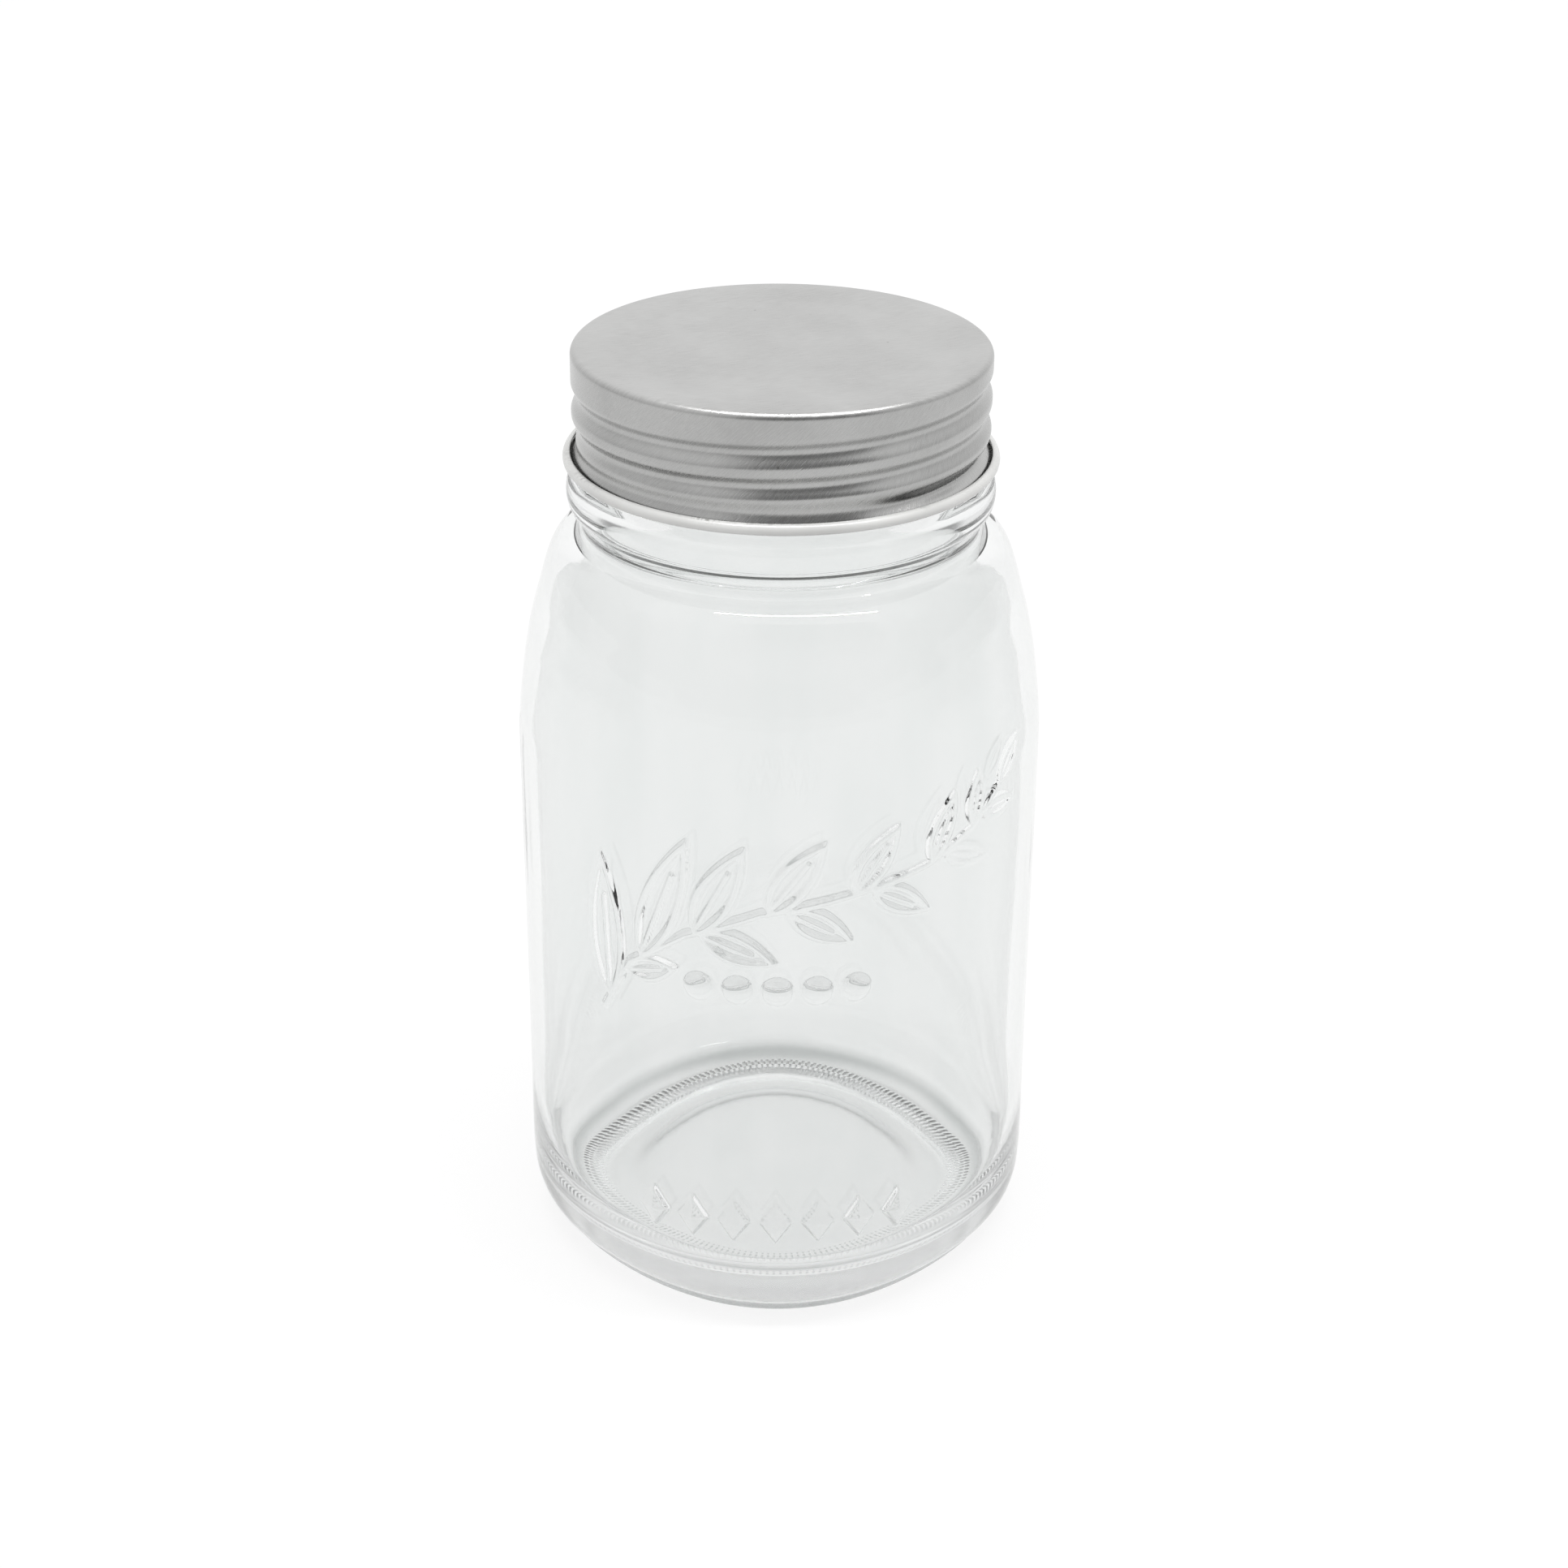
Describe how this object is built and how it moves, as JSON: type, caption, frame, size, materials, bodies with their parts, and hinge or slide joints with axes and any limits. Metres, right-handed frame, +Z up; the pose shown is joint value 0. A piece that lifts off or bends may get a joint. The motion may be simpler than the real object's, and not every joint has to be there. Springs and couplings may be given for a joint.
{
  "type": "mason jar",
  "caption": "Round clear glass storage jar with a one-piece metal screw lid and sealing ring; the lid unscrews and lifts off.",
  "frame": {"origin": "centre of the base, on the plane the jar stands on", "axes": "+Z up along the jar's axis; -Y is the front, the face with the relief ornament; +X to the right seen from the front"},
  "size_m": [0.0946, 0.0946, 0.1722],
  "materials": {
    "clear_glass": "clear, fire polished",
    "brushed_tinplate": "brushed outside, white lacquer inside",
    "sealing_compound": "matt white"
  },
  "bodies": {
    "jar": {"glass_jar": "clear_glass"},
    "seal": {"sealing_ring": "sealing_compound"},
    "lid": {"screw_lid": "brushed_tinplate"}
  },
  "joints": [
    {"name": "lid_lift", "type": "slide", "parent": "jar", "child": "seal", "axis": [0, 0, 1], "range_m": [0, 0.0232]},
    {"name": "lid_turn", "type": "hinge", "parent": "seal", "child": "lid", "pos_m": [0, 0, 0.16], "axis": [0, 0, 1], "range_deg": [0, 1440]}
  ],
  "couplings": [
    {"joint": "lid_lift", "follows": "lid_turn", "m_per_rad": 0.000923}
  ]
}
